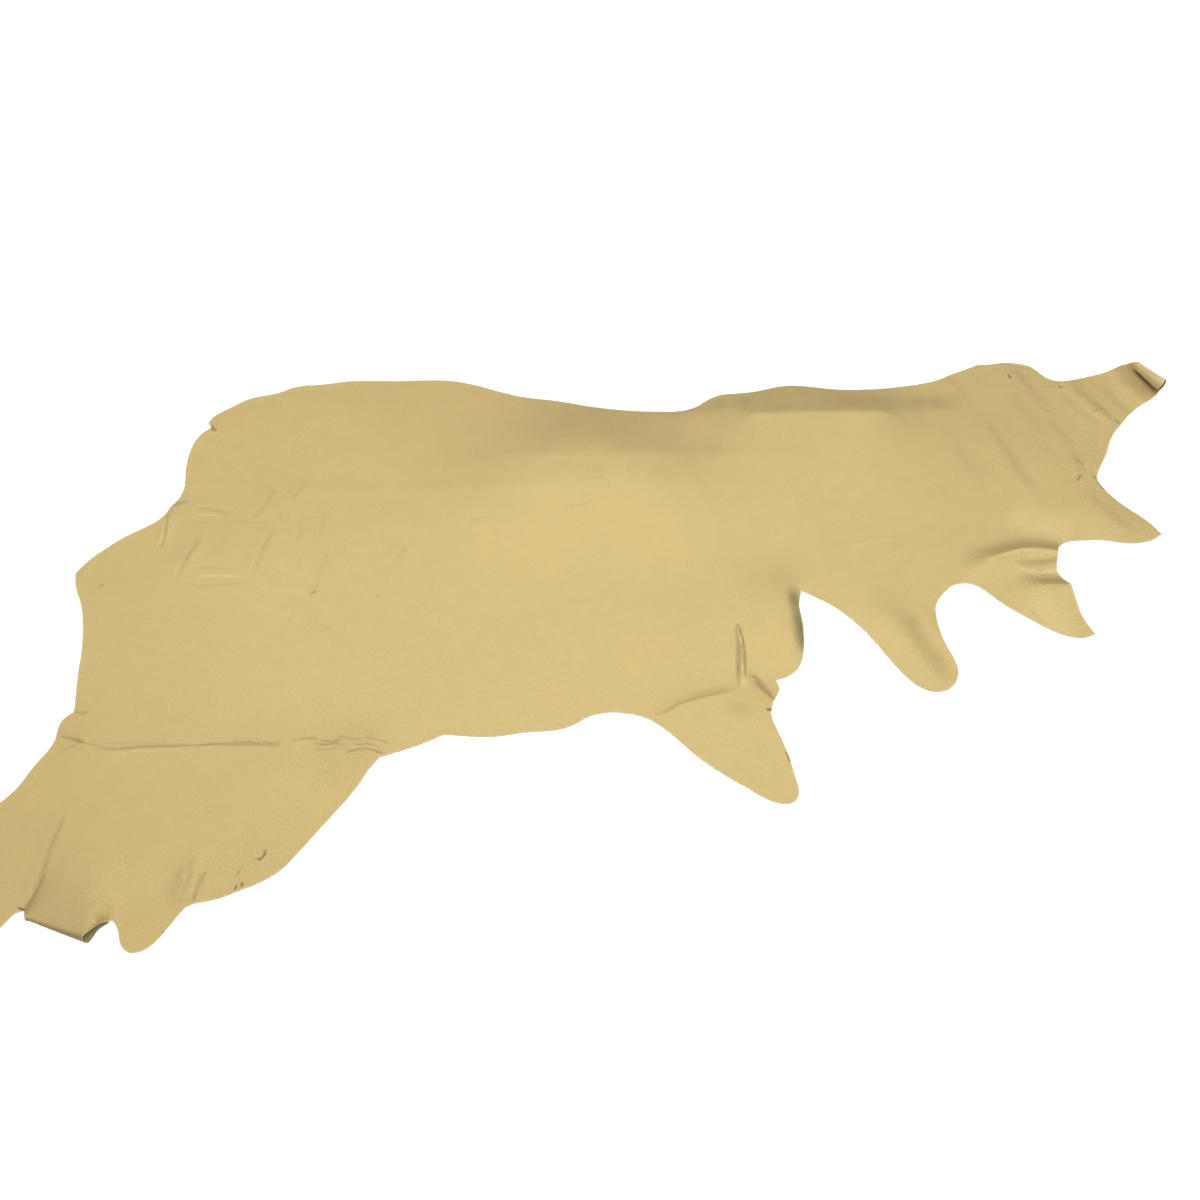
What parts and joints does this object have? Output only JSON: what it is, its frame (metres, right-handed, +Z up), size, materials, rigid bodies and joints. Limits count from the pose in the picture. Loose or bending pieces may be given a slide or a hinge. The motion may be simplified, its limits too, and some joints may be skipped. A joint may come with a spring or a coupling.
{
  "type": "leather hide",
  "caption": "Side of gold-finished leather laid flat, grain side up, with leg and neck lobes, a flap rolled under, a curled neck tip and soft creases.",
  "frame": {"origin": "middle of the footprint, on the surface that the hide lies on", "axes": "+X along the hide from the rump to the neck, +Y from the belly to the backbone edge, +Z up out of the grain side"},
  "size_m": [2.62, 1.535, 0.0338],
  "materials": {
    "grain_side": "soft gold metallic grain, fine pebble, with a buff suede flesh side and pale cut edges"
  },
  "bodies": {
    "root": {"hide": "grain_side"}
  },
  "joints": []
}
